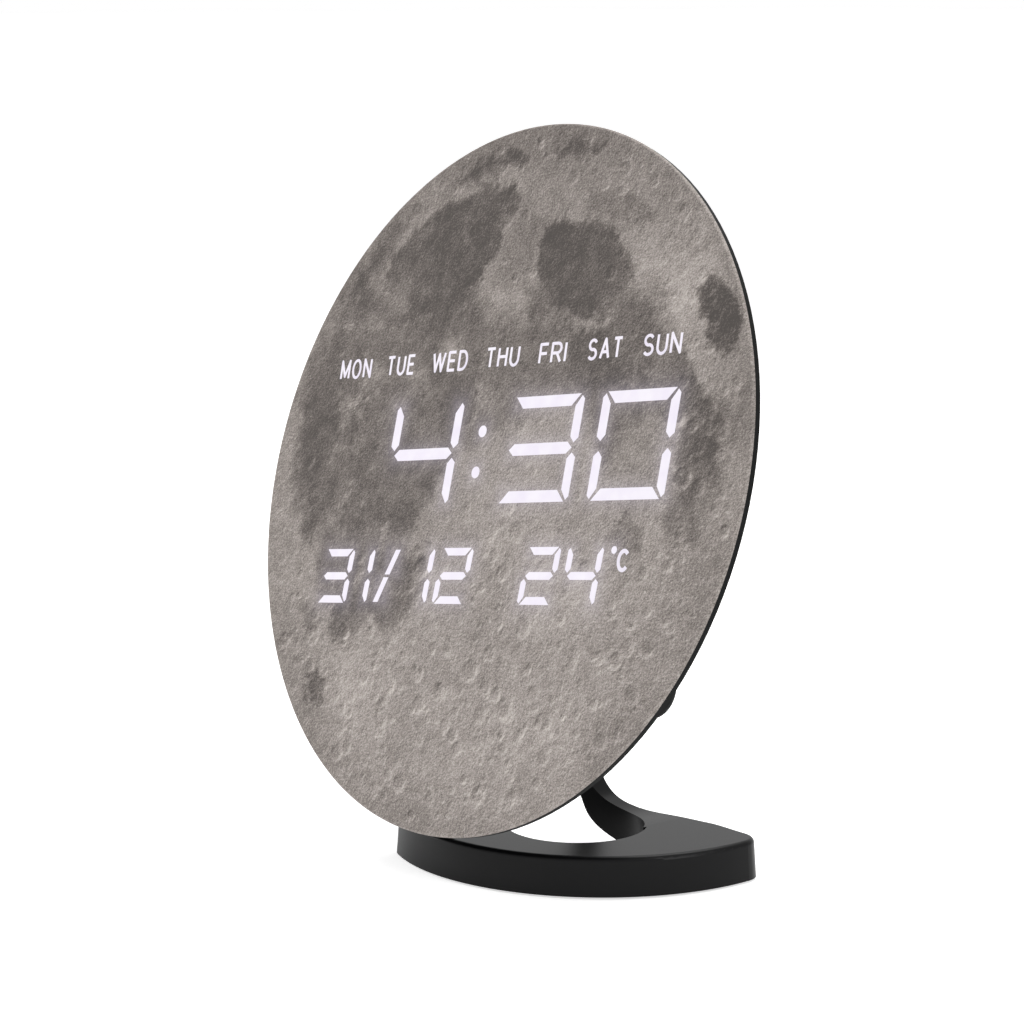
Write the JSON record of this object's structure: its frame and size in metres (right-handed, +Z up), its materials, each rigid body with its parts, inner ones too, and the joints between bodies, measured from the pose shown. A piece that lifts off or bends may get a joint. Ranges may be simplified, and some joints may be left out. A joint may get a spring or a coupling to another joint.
{
  "type": "desk clock",
  "caption": "Leaning round LED desk clock with a moon-print face, on a half-moon foot whose neck rises behind to a friction hub, with press buttons on the back.",
  "frame": {"origin": "on the table, at the middle of the clock's own box", "axes": "+Z up, -Y towards the viewer of the face, +X to the viewer's right"},
  "size_m": [0.25, 0.1006, 0.2572],
  "materials": {
    "moon_face": "printed satin",
    "film": "translucent",
    "white_block": "matte",
    "board": "solder mask",
    "led": "clear",
    "shell_black": "fine moulded texture",
    "cover_black": "fine moulded texture",
    "stand_black": "satin black",
    "screw": "blackened",
    "component": "matte",
    "cell": "bright",
    "socket": "plated",
    "button": "satin",
    "steel": "zinc plated",
    "washer": "natural",
    "rubber": "matte"
  },
  "bodies": {
    "stand": {"stand": "stand_black", "hub_cap": "stand_black", "ballast_plate": "steel", "foot_cover": "cover_black", "foot_screws": "screw", "rubber_pads": "rubber"},
    "head": {"front_panel": "moon_face", "diffuser_film": "film", "light_block": "white_block", "led_board": "board", "main_board": "board", "segment_leds": "led", "rear_shell": "shell_black", "rear_housing": "shell_black", "back_cover": "cover_black", "shell_screws": "screw", "housing_screws": "screw", "board_screws": "screw", "cover_screws": "screw", "hub_screws": "screw", "board_header": "component", "board_chips": "component", "tact_switches": "component", "buzzer": "component", "coin_holder": "component", "coin_cell": "cell", "temperature_probe": "component", "power_socket": "socket", "hub_plate": "steel", "head_hub": "stand_black", "friction_washer": "washer", "spring_washer": "steel", "hub_bolt": "steel"},
    "mode_button": {"mode_button": "button"},
    "set_button": {"set_button": "button"},
    "up_button": {"up_button": "button"},
    "down_button": {"down_button": "button"}
  },
  "joints": [
    {"name": "head_turn", "type": "hinge", "parent": "stand", "child": "head", "pos_m": [0, 0.0264, 0.1258], "axis": [0, -0.9532, 0.3024], "range_deg": [-38.7, 21.3]},
    {"name": "mode_press", "type": "slide", "parent": "head", "child": "mode_button", "axis": [0, -0.9532, 0.3024], "range_m": [0, 0.0012], "stiffness_N_per_m": 800, "springref_m": -0.0006},
    {"name": "set_press", "type": "slide", "parent": "head", "child": "set_button", "axis": [0, -0.9532, 0.3024], "range_m": [0, 0.0012], "stiffness_N_per_m": 800, "springref_m": -0.0006},
    {"name": "up_press", "type": "slide", "parent": "head", "child": "up_button", "axis": [0, -0.9532, 0.3024], "range_m": [0, 0.0012], "stiffness_N_per_m": 800, "springref_m": -0.0006},
    {"name": "down_press", "type": "slide", "parent": "head", "child": "down_button", "axis": [0, -0.9532, 0.3024], "range_m": [0, 0.0012], "stiffness_N_per_m": 800, "springref_m": -0.0006}
  ]
}
